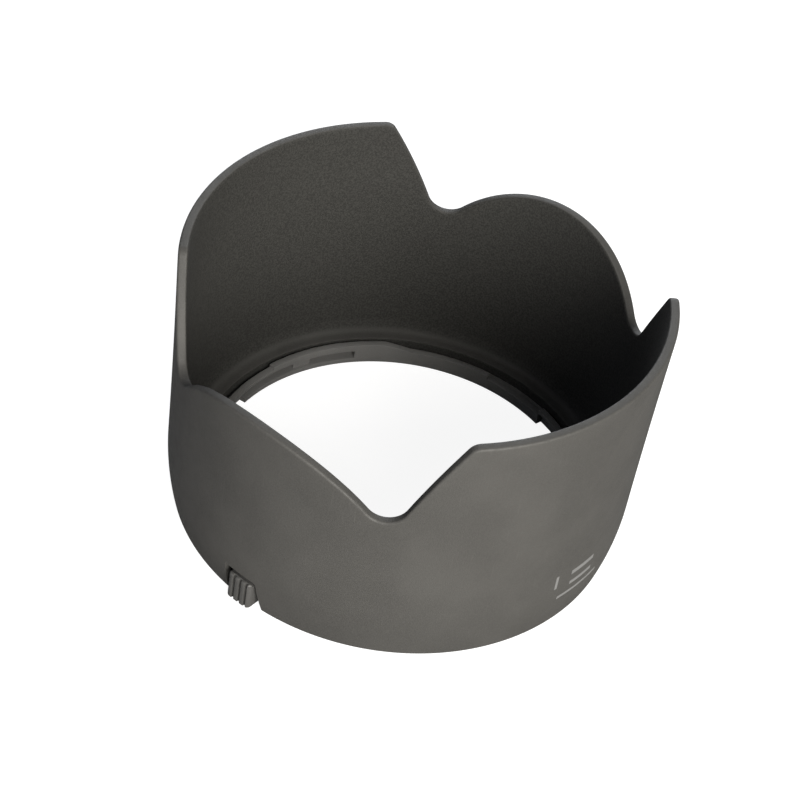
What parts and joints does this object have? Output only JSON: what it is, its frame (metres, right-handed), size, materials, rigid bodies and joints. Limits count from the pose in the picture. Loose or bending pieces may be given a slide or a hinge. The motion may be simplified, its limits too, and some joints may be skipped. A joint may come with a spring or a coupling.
{
  "type": "petal lens hood",
  "caption": "Petal-shaped bayonet lens hood in matte black plastic, with a ribbed release button that turns a locking lever at its base.",
  "frame": {"origin": "centre of the lens end, on the plane that the hood stands on", "axes": "+Z along the optical axis towards the front of the hood, +X and -X towards the short petals with the button at -X, +Y and -Y towards the tall petals"},
  "size_m": [0.1016, 0.1022, 0.0612],
  "materials": {
    "shell_plastic": "matte, finely grained moulding",
    "ring_plastic": "satin moulding",
    "button_plastic": "matte, worn on the ribs",
    "lever_plastic": "smooth satin moulding",
    "screw_steel": "black oxide",
    "pin_steel": "ground",
    "spring_steel": "drawn wire"
  },
  "bodies": {
    "hood": {"hood_shell": "shell_plastic", "bayonet_ring": "ring_plastic", "ring_screws": "screw_steel", "lever_pin": "pin_steel", "button_spring": "spring_steel", "lock_plate": "ring_plastic", "plate_screws": "screw_steel"},
    "button": {"lock_button": "button_plastic"},
    "lever": {"lock_lever": "lever_plastic"}
  },
  "joints": [
    {"name": "button_press", "type": "slide", "parent": "hood", "child": "button", "axis": [1, 0, 0], "range_m": [0, 0.0012], "stiffness_N_per_m": 400, "springref_m": -0.002, "deforming": ["button_spring"]},
    {"name": "lever_turn", "type": "hinge", "parent": "hood", "child": "lever", "pos_m": [-0.04353, -0.00925, 0], "axis": [0, 0, -1], "range_deg": [0, 11.48]}
  ],
  "couplings": [
    {"joint": "lever_turn", "follows": "button_press", "rad_per_m": 166.9}
  ]
}
